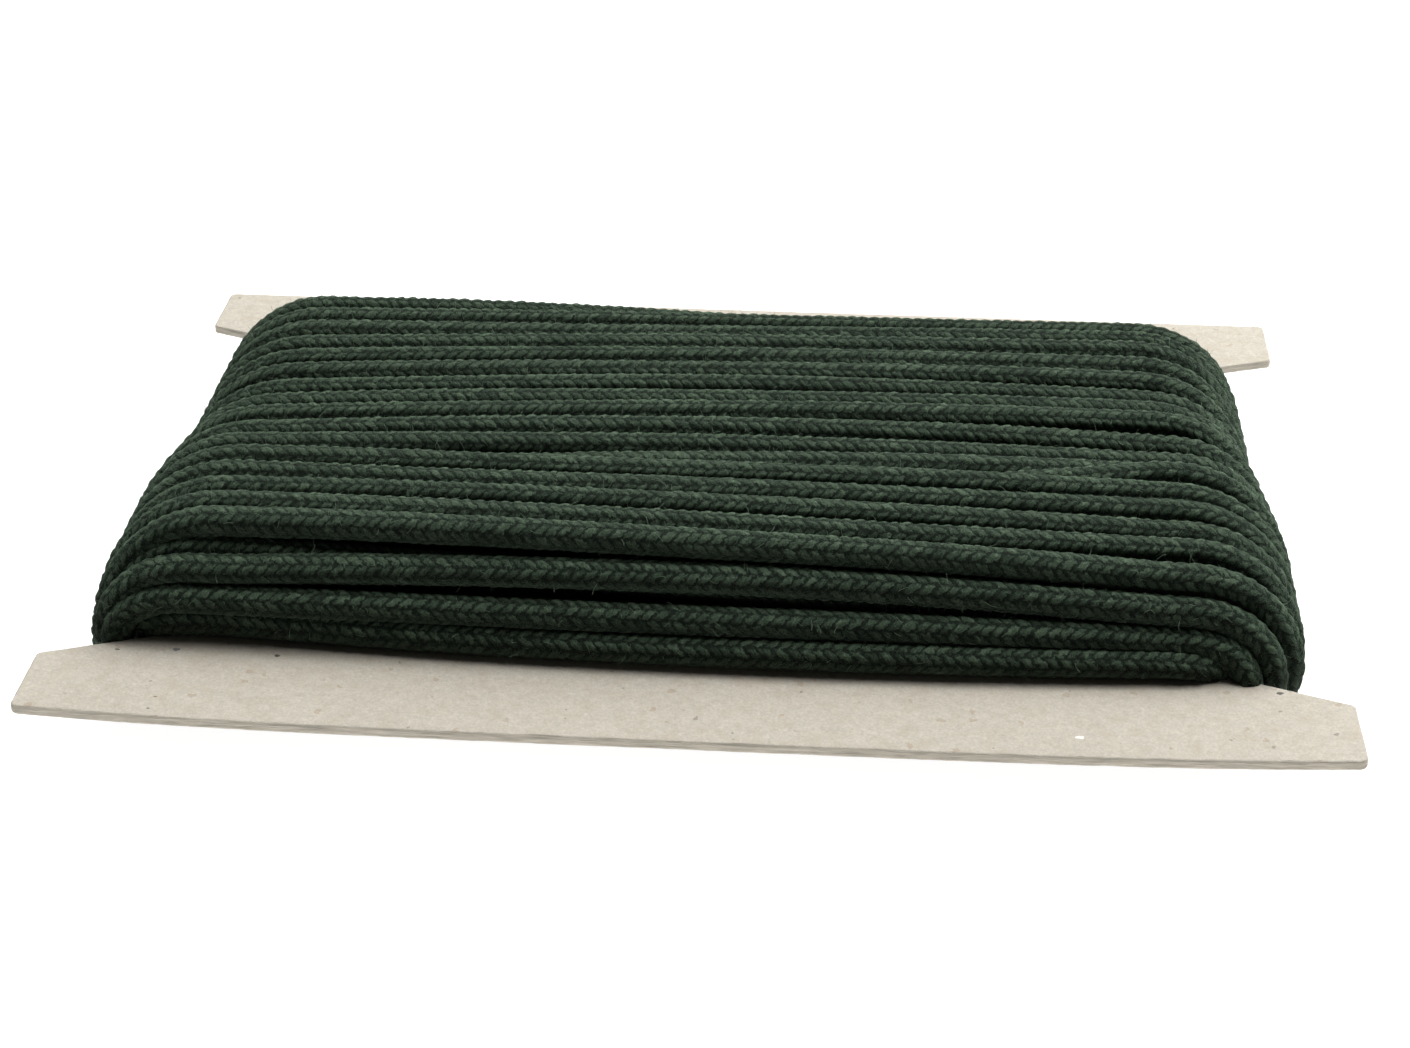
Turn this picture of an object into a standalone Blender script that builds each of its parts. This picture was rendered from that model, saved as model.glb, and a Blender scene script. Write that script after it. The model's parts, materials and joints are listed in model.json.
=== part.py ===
"""Piping cord wound in many turns round the waist of an H-shaped card that lies flat.

+X runs along the card, +Y to its far side and +Z up. The origin is on the surface, under the middle.
The cord's turns are one solid, a sleeve round the card's waist with a ridge for each outer turn.
"""

import math
from collections import namedtuple

import bmesh
import bpy
import numpy as np

MM = 0.001

# The card
CARD_LENGTH = 200 * MM
CARD_DEPTH = 150 * MM
CARD_THICK = 1.5 * MM
CARD_CORNER = 1.2 * MM
WAIST_LENGTH = 151 * MM
FLANGE_TIP = 15.2 * MM      # depth of a flange at its tip
NOTCH_LEAN = 0.37           # how far a notch's side leans in, for each unit towards the waist
CORNER_STEPS = 3
CLEARANCE = 0.3 * MM        # between the card and the cord

# The cord and its pile
CORD = 5 * MM
FLATTENED = 0.9 * MM        # how far the lowest turns are pressed flat on the surface
COLUMN_X = 60 * MM          # the table's left and right columns lie this far from the middle
BEND_LEAST = 5 * MM         # how long a turn's side bend is, for a turn close to the card
BEND_GROWTH = 0.75          # and how much longer for each unit of the turn's height

# A turn of the outer layer: where its middle lies across the card and how high above it, at the left
# column, the middle and the right one, then how far out it goes at the sides, all in mm. None is for
# a place where the turn is tucked under its neighbours. The first turn is the one nearest the front.
Turn = namedtuple("Turn", "y_left y_middle y_right rise_left rise_middle rise_right reach")
TURNS = (
    Turn(-54.5, -56.0, -54.0, 2.5, 2.5, 2.5, 84.0),
    Turn(-53.0, -53.5, -52.5, 6.5, 6.5, 4.5, 87.0),
    Turn(-50.5, -50.0, -50.0, 11.0, 12.0, 9.0, 89.7),
    Turn(-45.5, None, None, 10.0, None, None, 90.5),
    Turn(-46.0, -47.0, -46.5, 16.5, 16.5, 13.7, 91.5),
    Turn(-41.0, -42.0, -41.0, 16.5, 16.5, 14.5, 92.0),
    Turn(-35.5, -37.0, -36.0, 16.5, 17.0, 15.0, 92.0),
    Turn(-30.5, -32.0, -31.0, 16.5, 17.0, 15.8, 92.0),
    Turn(-25.0, -27.0, -26.5, 16.5, 17.5, 16.5, 92.0),
    Turn(None, None, -22.0, None, None, 16.0, 92.0),
    Turn(None, -22.0, -17.5, None, 16.5, 15.0, 92.0),
    Turn(-19.5, -17.0, -12.5, 16.5, 17.0, 14.5, 92.0),
    Turn(-14.5, -11.5, -7.0, 16.5, 17.5, 15.0, 91.5),
    Turn(-9.0, -6.5, -1.5, 16.5, 18.0, 16.3, 90.5),
    Turn(-4.5, -1.5, 3.0, 16.5, 17.5, 16.0, 89.5),
    Turn(1.0, 4.0, 8.5, 16.5, 17.5, 15.5, 89.0),
    Turn(7.0, 9.5, 14.0, 16.5, 17.5, 16.0, 89.0),
    Turn(12.5, 15.0, 20.0, 16.5, 17.5, 16.0, 89.0),
    Turn(18.0, 20.0, 25.5, 16.5, 17.5, 16.3, 89.0),
    Turn(23.5, 25.0, 30.0, 16.5, 17.0, 16.0, 89.0),
    Turn(29.0, 30.0, 34.5, 16.5, 17.0, 15.5, 89.0),
    Turn(34.5, 34.5, None, 16.0, 15.0, None, 89.0),
    Turn(39.0, 38.5, 39.0, 13.5, 12.5, 13.0, 88.5),
    Turn(43.0, 42.5, 43.0, 10.5, 10.0, 10.0, 88.0),
    Turn(46.5, 46.5, 46.5, 7.5, 7.0, 7.0, 88.0),
    Turn(50.5, 50.5, 50.5, 4.5, 4.5, 4.5, 87.0),
    Turn(54.0, 54.0, 54.0, 2.5, 2.5, 2.5, 84.0),
)

# Where the turns pass the card's edge at the sides, and where they lie underneath: the first few and
# the last few are given, and the others are spread evenly between two places across the card.
Lie = namedtuple("Lie", "first_few spread_from spread_to last_few")
AT_SIDES = Lie((-50.0, -51.5, -53.0), -50.0, 50.0, (52.0, 50.5))
UNDERNEATH = Lie((-55.0, -53.0, -50.5), -47.0, 47.5, (52.0, 55.0))
DEPTHS = Lie((3.2, 7.2, 11.0), 14.4, 14.4, (7.2, 3.2))    # of the middles, under the card's middle

# The solid's fineness
FLAT_STATIONS = 7
BEND_STATIONS = 6           # steps from the top to the underside, an even number
RIDGE_ANGLE = math.radians(50)
RIDGE_SHARE = 0.36          # how much of the way to its neighbour a ridge's side may reach
GROOVE = 0.9 * MM           # how deep a groove goes below the ridges' sides
TUCKED = 0.5 * MM           # the radius left to a turn that is tucked under
FOOT = 0.7 * MM             # height over the card at which the sleeve's two ends stop
FOOT_INWARD = 1.5 * MM      # how far those ends lie in from the first and last turns at the sides

LOWEST = max(DEPTHS.spread_from, DEPTHS.spread_to) * MM
CARD_MIDDLE = LOWEST + CORD / 2 - FLATTENED
GREYBOARD = (0.60, 0.56, 0.48, 1.0)
GREEN = (0.030, 0.048, 0.030, 1.0)


def clear_scene():
    for obj in list(bpy.data.objects):
        bpy.data.objects.remove(obj)


def collection(name):
    made = bpy.data.collections.new(name)
    bpy.context.scene.collection.children.link(made)
    return made


def material(name, colour, roughness):
    made = bpy.data.materials.new(name)
    made.use_nodes = True
    shader = made.node_tree.nodes["Principled BSDF"]
    shader.inputs["Base Color"].default_value = colour
    shader.inputs["Roughness"].default_value = roughness
    shader.inputs["Metallic"].default_value = 0.0
    return made


def notch_side(x, grow):
    """How far a notch's side lies from the card's middle line at x, for a card grown all round."""
    tip = CARD_DEPTH / 2 - FLANGE_TIP
    return tip - NOTCH_LEAN * (CARD_LENGTH / 2 - x) - grow * math.hypot(1, NOTCH_LEAN)


def rounded(corner, before, after):
    """The points of the arc that rounds a convex corner."""
    to_before = (before - corner) / np.linalg.norm(before - corner)
    to_after = (after - corner) / np.linalg.norm(after - corner)
    half = math.acos(float(np.dot(to_before, to_after))) / 2
    inward = (to_before + to_after) / np.linalg.norm(to_before + to_after)
    centre = corner + inward * CARD_CORNER / math.sin(half)
    sweep = math.pi - 2 * half
    for step in range(CORNER_STEPS + 1):
        angle = sweep * (step / CORNER_STEPS - 0.5)
        turned = np.array((
            -inward[0] * math.cos(angle) + inward[1] * math.sin(angle),
            -inward[0] * math.sin(angle) - inward[1] * math.cos(angle),
        ))
        yield centre + turned * CARD_CORNER


def card_outline(grow=0.0):
    """The H of the card, counter-clockwise, with its outer corners rounded."""
    end = CARD_LENGTH / 2 + grow
    edge = CARD_DEPTH / 2 + grow
    waist = WAIST_LENGTH / 2 + grow
    tip = notch_side(end, grow)
    throat = notch_side(waist, grow)
    right = [(end, -edge), (end, -tip), (waist, -throat), (waist, throat), (end, tip), (end, edge)]
    corners = [np.array(point) for point in right + [(-x, y) for x, y in reversed(right)]]
    outline = []
    for k, corner in enumerate(corners):
        if abs(corner[0]) < end:
            outline.append(corner)
        else:
            outline.extend(rounded(corner, corners[k - 1], corners[(k + 1) % len(corners)]))
    return outline


def flat_shape(name, outline, thick):
    """A flat outline with a thickness, from a filled 2D curve."""
    curve = bpy.data.curves.new(name, "CURVE")
    curve.dimensions = "2D"
    curve.fill_mode = "BOTH"
    curve.extrude = thick / 2
    spline = curve.splines.new("POLY")
    spline.points.add(len(outline) - 1)
    for point, (x, y) in zip(spline.points, outline):
        point.co = (x, y, 0.0, 1.0)
    spline.use_cyclic_u = True
    guide = bpy.data.objects.new(name + "_outline", curve)
    bpy.context.scene.collection.objects.link(guide)
    bpy.context.view_layer.update()
    mesh = bpy.data.meshes.new_from_object(guide.evaluated_get(bpy.context.evaluated_depsgraph_get()))
    bpy.data.objects.remove(guide)
    shell = bmesh.new()
    shell.from_mesh(mesh)
    bmesh.ops.remove_doubles(shell, verts=shell.verts, dist=0.01 * MM)
    bmesh.ops.recalc_face_normals(shell, faces=shell.faces)
    bmesh.ops.translate(shell, verts=shell.verts, vec=(0, 0, CARD_MIDDLE))
    shell.to_mesh(mesh)
    shell.free()
    return bpy.data.objects.new(name, mesh)


def column(name):
    return [None if value is None else value * MM for value in (getattr(turn, name) for turn in TURNS)]


def filled(values):
    """The values with each missing one put evenly between the nearest that are there."""
    known = [k for k, value in enumerate(values) if value is not None]
    return np.interp(range(len(values)), known, [values[k] for k in known])


def laid(lie, tucked):
    """A place for each turn: the first and last few as given, the rest spread evenly."""
    places = [None] * len(TURNS)
    places[: len(lie.first_few)] = lie.first_few
    places[-len(lie.last_few):] = lie.last_few
    between = [k for k, place in enumerate(places) if place is None and not tucked[k]]
    for k, place in zip(between, np.linspace(lie.spread_from, lie.spread_to, len(between))):
        places[k] = place
    return filled(places) * MM


def ease(share):
    return share * share * (3 - 2 * share)


def along(x, columns):
    """A smooth curve through a turn's values at the three columns."""
    left, middle, right = columns
    share = np.clip(x / COLUMN_X, -1.2, 1.2)
    outer = (left * share * (share - 1) + right * share * (share + 1)) / 2
    return float(outer + middle * (1 - share * share))


def stations():
    """Places round a loop: (run, share). A flat run's share goes from -1 to 1 and a bend's from 0 to 1."""
    flat = np.linspace(-1, 1, FLAT_STATIONS)
    bend = np.arange(1, BEND_STATIONS) / BEND_STATIONS
    return (
        [("top", share) for share in flat] + [("right", share) for share in bend]
        + [("below", -share) for share in flat] + [("left", 1 - share) for share in bend]
    )


def turn_routes():
    """The middle and the radius of each turn at each station, above and beside the card's middle."""
    rises = [column("rise_left"), column("rise_middle"), column("rise_right")]
    places = [column("y_left"), column("y_middle"), column("y_right")]
    radii = [[TUCKED if value is None else CORD / 2 for value in values] for values in places]
    tucked = [values[1] is None or values[0] is None for values in zip(*places)]
    under = [TUCKED if hidden else CORD / 2 for hidden in tucked]
    rises = np.transpose([filled(values) for values in rises]) + CARD_THICK / 2
    places = np.transpose([filled(values) for values in places])
    radii = np.transpose(radii)
    beside, below, depths = (laid(lie, tucked) for lie in (AT_SIDES, UNDERNEATH, DEPTHS))
    routes = np.zeros((len(TURNS), len(stations()), 4))
    for k, turn in enumerate(TURNS):
        reach = turn.reach * MM
        for s, (run, share) in enumerate(stations()):
            side = -1 if run == "left" or (run in ("top", "below") and share < 0) else 1
            low = run == "below" or (run != "top" and share > 0.5)
            height = depths[k] if low else rises[k][1 + side]
            bend = BEND_LEAST + BEND_GROWTH * height
            if run in ("top", "below"):
                x = share * (reach - bend)
                fall = 0.0
            else:
                x = side * (reach - bend + bend * math.sin(math.pi * share))
                fall = 1 - ease(abs(math.cos(math.pi * share)))
            if low:
                y = below[k] + (beside[k] - below[k]) * fall
                z = -height * (1 if run == "below" else -math.cos(math.pi * share))
                radius = under[k]
            else:
                y = along(x, places[k]) + (beside[k] - along(x, places[k])) * fall
                z = along(x, rises[k]) * (1 if run == "top" else math.cos(math.pi * share))
                radius = along(x, radii[k]) + (under[k] - along(x, radii[k])) * fall
            routes[k, s] = (x, y, z, min(max(radius, TUCKED), CORD / 2))
    return routes


def unit(vectors):
    return vectors / np.linalg.norm(vectors, axis=-1, keepdims=True)


def foot_of(route):
    """The sleeve's end: a loop just clear of the card, under its first or last turn."""
    foot = route[:, :3].copy()
    foot[:, 2] *= (CARD_THICK / 2 + FOOT) / np.abs(route[:, 2]).max()
    foot[:, 0] *= 1 - FOOT_INWARD / np.abs(route[:, 0]).max()
    return foot


def sleeve_rows(routes):
    """Rows of points from the front end over every ridge and groove to the far end."""
    middles = routes[:, :, :3]
    radii = routes[:, :, 3:]
    front = foot_of(routes[0])
    far = foot_of(routes[-1])
    chain = np.concatenate([front[None], middles, far[None]])
    across = unit(chain[2:] - chain[:-2])
    round_loop = unit(np.roll(middles, -1, axis=1) - np.roll(middles, 1, axis=1))
    outward = unit(np.cross(round_loop, across))
    steps = np.linalg.norm(chain[1:] - chain[:-1], axis=-1, keepdims=True)
    rise = outward * radii * math.cos(RIDGE_ANGLE)
    side = radii * math.sin(RIDGE_ANGLE)
    near = middles + rise - across * np.minimum(side, RIDGE_SHARE * steps[:-1])
    beyond = middles + rise + across * np.minimum(side, RIDGE_SHARE * steps[1:])
    crests = middles + outward * radii
    rows = [front]
    for k in range(len(TURNS)):
        rows += [near[k], crests[k], beyond[k]]
        if k + 1 < len(TURNS):
            depth = GROOVE * np.minimum(radii[k], radii[k + 1]) / (CORD / 2)
            rows.append((beyond[k] + near[k + 1]) / 2 - unit(outward[k] + outward[k + 1]) * depth)
    rows.append(far)
    return np.array(rows)


def sleeve_mesh(name):
    """A loft round the card's waist through unlike sections, closed at both ends by strips."""
    rows = sleeve_rows(turn_routes())
    rows[:, :, 2] = np.maximum(rows[:, :, 2] + CARD_MIDDLE, 0.0)
    shell = bmesh.new()
    grid = [[shell.verts.new(point) for point in row] for row in rows]
    count = len(grid[0])
    for row, following in zip(grid, grid[1:]):
        for s in range(count):
            after = (s + 1) % count
            shell.faces.new((row[s], row[after], following[after], following[s]))
    for end in (grid[0], grid[-1]):
        close_end(shell, end)
    bmesh.ops.recalc_face_normals(shell, faces=shell.faces)
    bmesh.ops.triangulate(shell, faces=shell.faces)
    mesh = bpy.data.meshes.new(name)
    shell.to_mesh(mesh)
    shell.free()
    return mesh


def close_end(shell, loop):
    """Joins an end loop's upper half to its lower half, from its right side to its left."""
    half = BEND_STATIONS // 2
    first = FLAT_STATIONS - 1 + half
    pairs = (len(loop) - 2) // 2
    upper = [loop[first - k] for k in range(pairs + 2)]
    lower = [loop[(first + k) % len(loop)] for k in range(pairs + 2)]
    for k in range(pairs + 1):
        corners = list(dict.fromkeys((upper[k], upper[k + 1], lower[k + 1], lower[k])))
        shell.faces.new(corners)


def build_card(parts):
    card = flat_shape("card", card_outline(), CARD_THICK)
    card.data.materials.append(material("greyboard", GREYBOARD, 0.9))
    parts.objects.link(card)


def build_winding(parts, cutters):
    """The cord's turns as one sleeve, cut clear of the card that it is wound on."""
    winding = bpy.data.objects.new("winding", sleeve_mesh("winding"))
    winding.data.materials.append(material("green_cord", GREEN, 0.95))
    winding.data.shade_smooth()
    parts.objects.link(winding)
    slot = flat_shape("slot", card_outline(CLEARANCE), CARD_THICK + 2 * CLEARANCE)
    slot.hide_render = True
    slot.display_type = "WIRE"
    cutters.objects.link(slot)
    cut = winding.modifiers.new("slot_for_card", "BOOLEAN")
    cut.operation = "DIFFERENCE"
    cut.object = slot


def main():
    clear_scene()
    parts = collection("piping_cord_on_card")
    cutters = collection("cutters")
    build_card(parts)
    build_winding(parts, cutters)


main()
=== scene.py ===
"""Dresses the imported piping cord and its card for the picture.

The cord is one long line that winds round the card, turn after turn, and a tree of geometry nodes
makes its braid of lobes. The card is grey board with a cut edge. Lengths are in metres.
"""

import json
import math
from collections import namedtuple

import bmesh
import bpy
import numpy as np
from bpy.props import FloatProperty, FloatVectorProperty, IntProperty, PointerProperty
from mathutils import Matrix, Vector
from mathutils.geometry import tessellate_polygon

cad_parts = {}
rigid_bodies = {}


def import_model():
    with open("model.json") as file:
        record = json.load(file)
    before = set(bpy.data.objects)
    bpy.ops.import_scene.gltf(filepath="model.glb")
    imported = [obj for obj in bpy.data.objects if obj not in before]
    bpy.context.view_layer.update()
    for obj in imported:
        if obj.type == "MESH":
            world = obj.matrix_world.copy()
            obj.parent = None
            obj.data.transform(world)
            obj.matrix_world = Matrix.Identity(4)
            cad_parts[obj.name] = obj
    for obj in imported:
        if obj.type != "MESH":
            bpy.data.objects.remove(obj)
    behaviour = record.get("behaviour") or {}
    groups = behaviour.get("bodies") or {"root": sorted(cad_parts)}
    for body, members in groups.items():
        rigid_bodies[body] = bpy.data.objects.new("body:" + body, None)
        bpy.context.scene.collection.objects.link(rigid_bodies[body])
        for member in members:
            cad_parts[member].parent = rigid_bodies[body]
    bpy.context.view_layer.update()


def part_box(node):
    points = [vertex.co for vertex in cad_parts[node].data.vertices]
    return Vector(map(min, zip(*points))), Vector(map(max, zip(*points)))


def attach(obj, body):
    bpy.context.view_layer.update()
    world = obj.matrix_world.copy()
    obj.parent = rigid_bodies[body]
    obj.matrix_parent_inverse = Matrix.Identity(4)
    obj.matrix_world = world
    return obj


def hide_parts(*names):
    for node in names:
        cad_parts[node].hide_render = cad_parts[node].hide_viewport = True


bl_info = {
    "name": "Piping Cord on a Card",
    "version": (1, 0, 0),
    "blender": (4, 5, 0),
    "location": "3D View > Sidebar > Cord",
    "description": "Braided piping cord wound round an H-shaped card of grey board",
    "category": "Object",
}

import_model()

MM = 0.001
CARD_LOW, CARD_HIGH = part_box("card")
CARD_MIDDLE = (CARD_LOW.z + CARD_HIGH.z) / 2

# The card's outline, as the solid has it
CARD_LENGTH = 200 * MM
CARD_DEPTH = 150 * MM
CARD_THICK = 1.5 * MM
WAIST_LENGTH = 151 * MM
FLANGE_TIP = 15.2 * MM
NOTCH_LEAN = 0.37

# The winding: each turn's middle across the card, its height above the card's top and its reach at
# the sides, in mm, as in the part's source but for up to 1.8 mm in the four front turns. None is for
# a place where a turn is tucked under others.
COLUMN_X = 60 * MM
BEND_LEAST = 5 * MM
BEND_GROWTH = 0.75
Turn = namedtuple("Turn", "y_left y_middle y_right rise_left rise_middle rise_right reach")
TURNS = (
    Turn(-53.2, -55.8, -54.6, 2.5, 2.5, 2.5, 84.0),
    Turn(-53.0, -53.5, -52.5, 6.5, 6.5, 5.5, 87.0),
    Turn(-50.5, -50.0, -50.0, 11.0, 12.0, 10.0, 89.7),
    Turn(-47.3, None, None, 11.7, None, None, 90.5),
    Turn(-46.0, -47.0, -46.5, 16.5, 16.5, 13.7, 91.5),
    Turn(-41.0, -42.0, -41.0, 16.5, 16.5, 14.5, 92.0),
    Turn(-35.5, -37.0, -36.0, 16.5, 17.0, 15.0, 92.0),
    Turn(-30.5, -32.0, -31.0, 16.5, 17.0, 15.8, 92.0),
    Turn(-25.0, -27.0, -26.5, 16.5, 17.5, 16.5, 92.0),
    Turn(None, None, -22.0, None, None, 16.0, 92.0),
    Turn(None, -22.0, -17.5, None, 16.5, 15.0, 92.0),
    Turn(-19.5, -17.0, -12.5, 16.5, 17.0, 14.5, 92.0),
    Turn(-14.5, -11.5, -7.0, 16.5, 17.5, 15.0, 91.5),
    Turn(-9.0, -6.5, -1.5, 16.5, 18.0, 16.3, 90.5),
    Turn(-4.5, -1.5, 3.0, 16.5, 17.5, 16.0, 89.5),
    Turn(1.0, 4.0, 8.5, 16.5, 17.5, 15.5, 89.0),
    Turn(7.0, 9.5, 14.0, 16.5, 17.5, 16.0, 89.0),
    Turn(12.5, 15.0, 20.0, 16.5, 17.5, 16.0, 89.0),
    Turn(18.0, 20.0, 25.5, 16.5, 17.5, 16.3, 89.0),
    Turn(23.5, 25.0, 30.0, 16.5, 17.0, 16.0, 89.0),
    Turn(29.0, 30.0, 34.5, 16.5, 17.0, 15.5, 89.0),
    Turn(34.5, 34.5, None, 16.0, 15.0, None, 89.0),
    Turn(39.0, 38.5, 39.0, 13.5, 12.5, 13.0, 88.5),
    Turn(43.0, 42.5, 43.0, 10.5, 10.0, 10.0, 88.0),
    Turn(46.5, 46.5, 46.5, 7.5, 7.0, 7.0, 88.0),
    Turn(50.5, 50.5, 50.5, 4.5, 4.5, 4.5, 87.0),
    Turn(54.0, 54.0, 54.0, 2.5, 2.5, 2.5, 84.0),
)
Lie = namedtuple("Lie", "first_few spread_from spread_to last_few")
AT_SIDES = Lie((-50.0, -51.5, -53.0), -50.0, 50.0, (52.0, 50.5))
UNDERNEATH = Lie((-55.0, -53.0, -50.5), -47.0, 47.5, (52.0, 55.0))
DEPTHS = Lie((3.2, 7.2, 11.0), 14.4, 14.4, (7.2, 3.2))

# The front turns nest at the card's corners, each with a reach and a place of its own there
Corner = namedtuple("Corner", "turn reach beside")
CORNERS = {
    -1: (Corner(0, 85.0, -51.0), Corner(1, 89.6, -53.8), Corner(2, 91.2, -52.4), Corner(3, 91.0, -50.5)),
    1: (Corner(0, 80.5, -51.3), Corner(1, 84.8, -54.0), Corner(2, 88.6, -52.2), Corner(4, 91.5, -48.6)),
}
TUCK = 4.3 * MM             # how far a tucked turn lies under its neighbours

# Single marks on the card's top: place and size in mm, and colour
Mark = namedtuple("Mark", "x y size colour")
DARK = (0.03, 0.028, 0.025, 1.0)
BROWN = (0.20, 0.11, 0.04, 1.0)
BLUISH = (0.12, 0.12, 0.14, 1.0)
PALE = (0.85, 0.84, 0.80, 1.0)
MARKS = (
    Mark(-87.9, -58.0, 0.5, DARK), Mark(-63.1, -57.9, 0.8, DARK), Mark(-78.8, -57.4, 0.9, BLUISH),
    Mark(-79.4, -73.0, 0.4, DARK), Mark(-79.1, -70.0, 0.35, BROWN), Mark(89.1, -57.2, 0.7, DARK),
    Mark(58.7, -70.2, 0.7, PALE),
)

WAVER = 0.12 * MM           # how far the hand-guided turns waver
END_LIFT = 4.5 * MM         # how far up between the turns the cord's two ends go

# The layer that shows through the gaps
INNER_SINK = 4.3 * MM
INNER_NARROWING = 0.93
INNER_SHIFT = 2.6 * MM
INNER_RADIUS = 2.7 * MM

# The hairs stand above this height over the card's middle and point away from a box in the pile
HAIR_LOWEST = -12.5 * MM
HAIR_CORE = (78 * MM, 47 * MM, 9 * MM)

# How finely the cord is made
PROFILE_POINTS = 24
STEPS_PER_LOBE = 3.5
UNDER_STEP = 0.9 * MM
INNER_STEP = 2.4 * MM
INNER_PROFILE = 10
MOST_TRIANGLES = 190000     # in one piece of the cord

# The floor and the lamps
FLOOR_REACH = 30.0
KEY_PLACE, KEY_SIZE = (0.4, 0.55, 1.25), (1.3, 1.1)
RIM_PLACE, RIM_SIZE = (0.25, 1.3, 0.45), (1.6, 0.5)

# The camera, from the photograph's own perspective
CAMERA_PLACE = (0.0281, -0.4153, 0.23955)
CAMERA_DOWN = math.radians(28.818)
CAMERA_YAW = math.radians(4.085)
CAMERA_ROLL = math.radians(0.143)
CAMERA_LENS = 70.9
CAMERA_SENSOR = 36.0


class CordSettings(bpy.types.PropertyGroup):
    diameter: FloatProperty(
        name="Diameter", description="Across the cord's lobes", default=5.1 * MM, unit="LENGTH"
    )
    lobe_height: FloatProperty(
        name="Lobe height", description="How far a lobe stands out of the grooves", default=0.42 * MM,
        unit="LENGTH"
    )
    lobe_pitch: FloatProperty(
        name="Lobe pitch", description="Length of a lobe along the cord", default=1.96 * MM, unit="LENGTH"
    )
    columns: IntProperty(name="Columns", description="Columns of lobes round the cord", default=8)
    slant: FloatProperty(name="Slant", description="How far a lobe slants, in lobe pitches", default=0.8)
    lobe_turn: FloatProperty(
        name="Lobe turn", description="Turns the columns round the cord, in columns", default=1.0
    )
    twist: FloatProperty(
        name="Twist", description="How far the columns drift round the cord along its length, in columns",
        default=2.2
    )
    # Painted shade: a darker colour put in the grooves between the lobes, where shade falls
    painted_gap_shade: FloatVectorProperty(
        name="Shade", description="Colour in the gaps between lobes", subtype="COLOR", size=4,
        default=(0.008, 0.013, 0.009, 1.0)
    )
    green: FloatVectorProperty(
        name="Green", description="Colour of the yarn", subtype="COLOR", size=4,
        default=(0.022, 0.037, 0.024, 1.0)
    )
    # Painted highlight: a lighter colour put on the crests and fibres of the lobes, where they catch the
    # light; the loose hairs take it as their colour too
    lit: FloatVectorProperty(
        name="Lit fibres", description="Colour of the fibres that catch the light", subtype="COLOR", size=4,
        default=(0.130, 0.186, 0.122, 1.0)
    )
    hairs: FloatProperty(
        name="Hairs", description="Loose hairs for each square metre of cord", default=90000.0
    )


class CardSettings(bpy.types.PropertyGroup):
    wear: FloatProperty(
        name="Edge wear", description="How far the cut edge is worn in", default=0.12 * MM, unit="LENGTH"
    )
    corner: FloatProperty(
        name="Corner", description="Radius of the outer corners", default=1.2 * MM, unit="LENGTH"
    )
    sag: FloatProperty(
        name="Sag", description="How far the middle of the front edge hangs down", default=1.5 * MM,
        unit="LENGTH"
    )
    board: FloatVectorProperty(
        name="Board", description="Colour of the grey board", subtype="COLOR", size=4,
        default=(0.47, 0.435, 0.37, 1.0)
    )
    # The cut edge's colour is partly its own and partly painted light: it is set lighter than the board's
    # face to stand for light from the front
    edge: FloatVectorProperty(
        name="Cut edge", description="Colour of the cut edge", subtype="COLOR", size=4,
        default=(0.60, 0.55, 0.46, 1.0)
    )


class StageSettings(bpy.types.PropertyGroup):
    floor: FloatVectorProperty(
        name="Floor", description="Colour of the floor", subtype="COLOR", size=4,
        default=(0.45, 0.45, 0.45, 1.0)
    )
    key: FloatProperty(name="Key light", description="Power of the large lamp above and behind", default=40.5)
    rim: FloatProperty(name="Rim light", description="Power of the low lamp behind", default=6.5)
    glow: FloatProperty(
        name="Floor glow", description="Light of the floor itself, as of a lit table", default=0.93
    )
    sky: FloatProperty(name="Sky", description="Strength of the even light all round", default=0.03)


def feed(tree, node, inputs):
    """Links each of a node's inputs that is given a socket, and sets the others."""
    for key, value in inputs.items():
        socket = node.inputs[key]
        if isinstance(value, bpy.types.NodeSocket):
            tree.links.new(value, socket)
        else:
            socket.default_value = value


def add(tree, kind, inputs=None, **settings):
    """A new node, its settings set and its inputs linked or given a value."""
    node = tree.nodes.new(kind)
    for name, value in settings.items():
        setattr(node, name, value)
    feed(tree, node, inputs or {})
    return node


def first_of(tree, kind, inputs=None, **settings):
    """The first output of a new node."""
    return add(tree, kind, inputs, **settings).outputs[0]


def calc(tree, operation, *values):
    return first_of(tree, "ShaderNodeMath", dict(enumerate(values)), operation=operation)


def calc_vector(tree, operation, *values):
    return first_of(tree, "ShaderNodeVectorMath", dict(enumerate(values)), operation=operation)


def times(tree, first, second):
    return calc(tree, "MULTIPLY", first, second)


def times_plus(tree, first, second, third):
    return calc(tree, "MULTIPLY_ADD", first, second, third)


def split(tree, vector):
    return add(tree, "ShaderNodeSeparateXYZ", {0: vector}).outputs


def joined(tree, x=0.0, y=0.0, z=0.0):
    return first_of(tree, "ShaderNodeCombineXYZ", {0: x, 1: y, 2: z})


def ranged(tree, value, low, high, at_low, at_high, way="LINEAR"):
    """A value taken from one range to another and kept inside it."""
    inputs = {0: value, 1: low, 2: high, 3: at_low, 4: at_high}
    return first_of(tree, "ShaderNodeMapRange", inputs, interpolation_type=way)


def compared(tree, first, operation, second):
    inputs = {"A": first, "B": second}
    return first_of(tree, "FunctionNodeCompare", inputs, data_type="FLOAT", operation=operation)


def stored(tree, geometry, name, value, kind):
    """The geometry with a named attribute stored on it."""
    inputs = {"Geometry": geometry, "Name": name, "Value": value}
    return first_of(tree, "GeometryNodeStoreNamedAttribute", inputs, data_type=kind)


def named(tree, name, kind):
    return first_of(tree, "GeometryNodeInputNamedAttribute", {"Name": name}, data_type=kind)


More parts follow.
